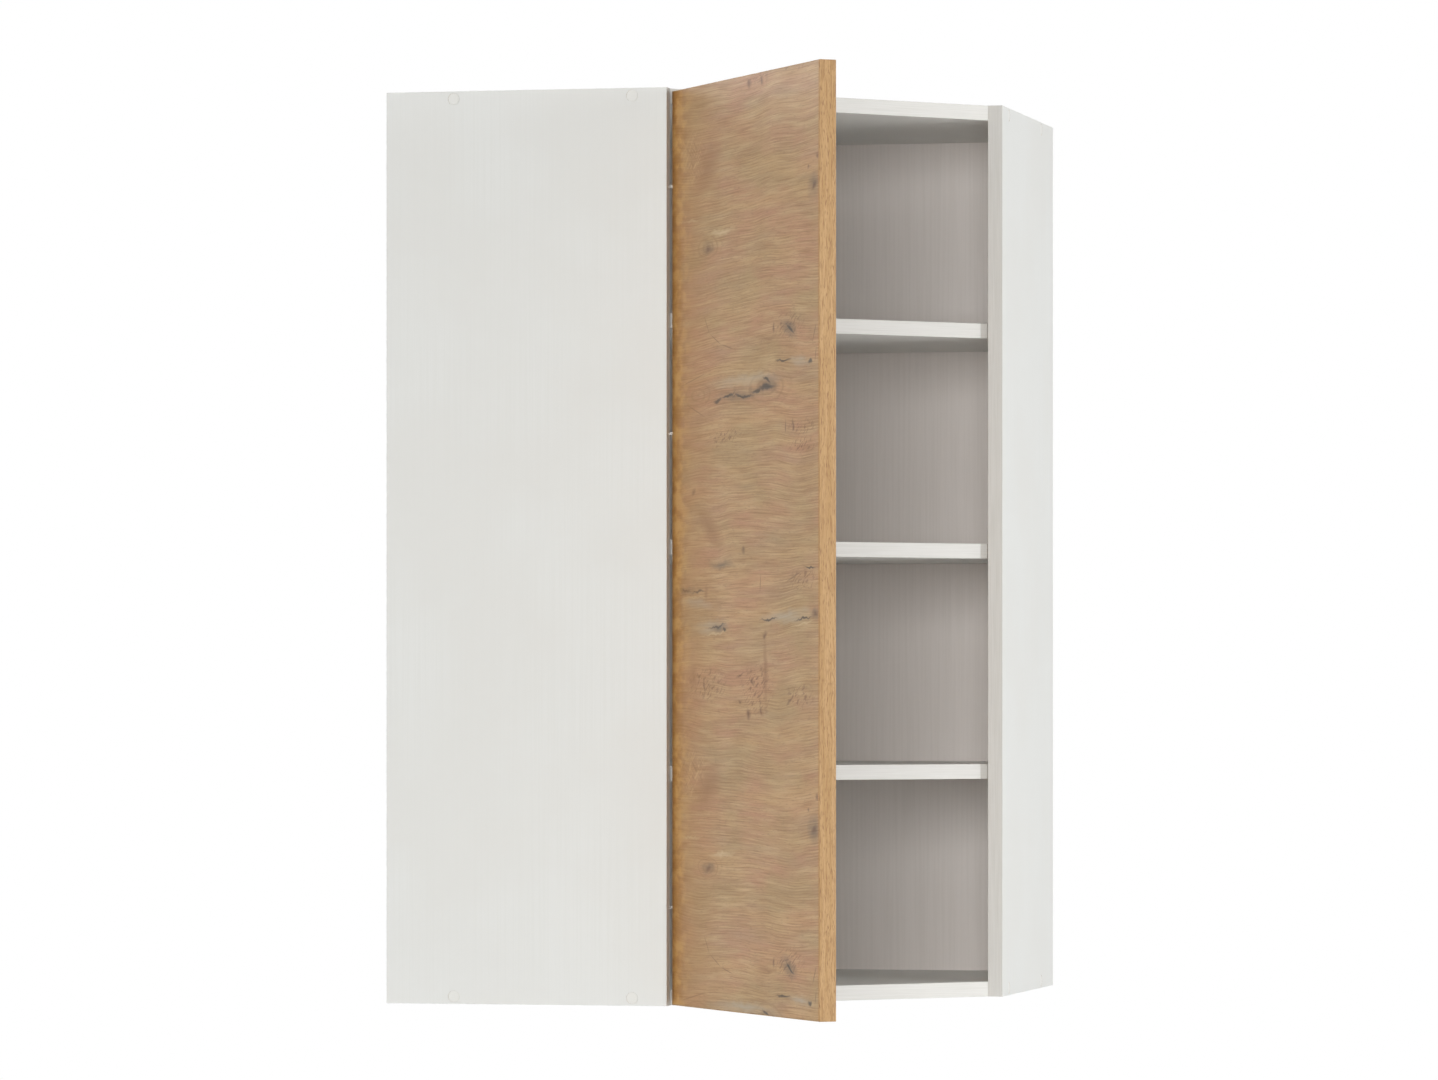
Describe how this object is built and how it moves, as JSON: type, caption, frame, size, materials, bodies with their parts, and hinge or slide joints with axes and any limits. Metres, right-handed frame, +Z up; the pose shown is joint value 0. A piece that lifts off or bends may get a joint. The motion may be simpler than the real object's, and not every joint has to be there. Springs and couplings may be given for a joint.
{
  "type": "corner wall cabinet",
  "caption": "Corner wall cabinet with a slanted front: white boards and shelves, thin rear panels on a corner post, wall hangers, and an oak-pattern door standing open on pivot hinges.",
  "frame": {"origin": "centre of the square that the side panels and walls enclose, at the underside of the bottom board", "axes": "+Z up; the walls are at -X and +Y; the slanted front faces halfway between +X and -Y"},
  "size_m": [0.6, 0.9122, 0.954],
  "materials": {
    "white_board": "satin white faced chipboard",
    "hardboard": "white lacquered hardboard",
    "raw_wood": "planed softwood",
    "oak_decor": "knotty oak pattern, textured",
    "oak_band": "oak pattern edge band",
    "white_plastic": "satin",
    "clear_plastic": "soft and cloudy",
    "nickel": "nickel plated",
    "zinc": "zinc plated"
  },
  "bodies": {
    "carcass": {"bottom_panel": "white_board", "hanger_adjusting_screw_left": "zinc", "hanger_adjusting_screw_right": "zinc", "hanger_cover_left": "white_plastic", "hanger_cover_right": "white_plastic", "hanger_hook_left": "zinc", "hanger_hook_right": "zinc", "hanger_housing_left": "white_plastic", "hanger_housing_right": "white_plastic", "hinge_bracket_bottom": "nickel", "hinge_bracket_middle": "nickel", "hinge_bracket_top": "nickel", "left_side_panel": "white_board", "lower_shelf": "white_board", "lower_shelf_pin_corner": "nickel", "lower_shelf_pin_left_front": "nickel", "lower_shelf_pin_left_rear": "nickel", "lower_shelf_pin_right_front": "nickel", "lower_shelf_pin_right_rear": "nickel", "middle_shelf": "white_board", "middle_shelf_pin_corner": "nickel", "middle_shelf_pin_left_front": "nickel", "middle_shelf_pin_left_rear": "nickel", "middle_shelf_pin_right_front": "nickel", "middle_shelf_pin_right_rear": "nickel", "rear_corner_post": "raw_wood", "rear_panel_left": "hardboard", "rear_panel_right": "hardboard", "right_side_panel": "white_board", "screw_left_bottom_front": "white_plastic", "screw_left_bottom_rear": "white_plastic", "screw_left_top_front": "white_plastic", "screw_left_top_rear": "white_plastic", "screw_right_bottom_front": "white_plastic", "screw_right_bottom_rear": "white_plastic", "screw_right_top_front": "white_plastic", "screw_right_top_rear": "white_plastic", "top_panel": "white_board", "upper_shelf": "white_board", "upper_shelf_pin_corner": "nickel", "upper_shelf_pin_left_front": "nickel", "upper_shelf_pin_left_rear": "nickel", "upper_shelf_pin_right_front": "nickel", "upper_shelf_pin_right_rear": "nickel"},
    "door": {"door_bumper_bottom": "clear_plastic", "door_bumper_top": "clear_plastic", "door_edge_band_bottom": "oak_band", "door_edge_band_free_side": "oak_band", "door_edge_band_hinge_side": "oak_band", "door_edge_band_top": "oak_band", "door_panel": "oak_decor", "hinge_pin_bottom": "nickel", "hinge_pin_middle": "nickel", "hinge_pin_top": "nickel", "hinge_socket_bottom": "zinc", "hinge_socket_middle": "zinc", "hinge_socket_top": "zinc"}
  },
  "joints": [
    {"name": "door_swing", "type": "hinge", "parent": "carcass", "child": "door", "pos_m": [0.01522, -0.28718, 0], "axis": [0, 0, 1], "range_deg": [-8, 100]}
  ]
}
